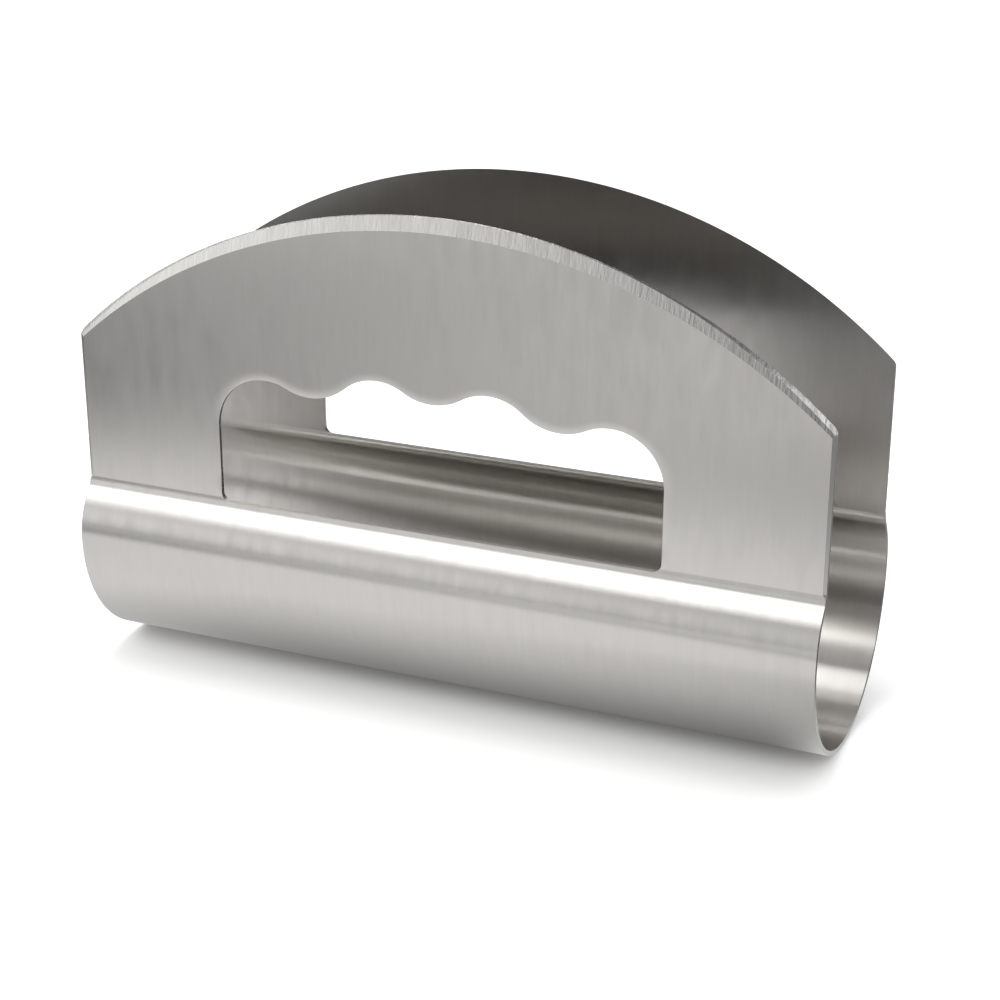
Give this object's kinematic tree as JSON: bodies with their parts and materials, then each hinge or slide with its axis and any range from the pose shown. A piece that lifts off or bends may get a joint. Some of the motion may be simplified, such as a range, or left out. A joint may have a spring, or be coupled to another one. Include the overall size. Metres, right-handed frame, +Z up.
{
  "type": "mezzaluna",
  "caption": "Mezzaluna folded from brushed steel sheet: a rolled tube grip, and parallel blades with arched ground edges and a scalloped finger opening in each.",
  "frame": {"origin": "middle of the tube's underside, at the centre of the bounding box's bottom face", "axes": "+X along the tube, +Y across the blades from the front one to the rear one, +Z up from the tube to the cutting edges"},
  "size_m": [0.16, 0.056, 0.1045],
  "materials": {
    "brushed_steel": "brushed, grain running down the blades and round the tube"
  },
  "bodies": {
    "root": {"grip_tube": "brushed_steel", "front_shoulder": "brushed_steel", "rear_shoulder": "brushed_steel", "front_blade": "brushed_steel", "rear_blade": "brushed_steel"}
  },
  "joints": []
}
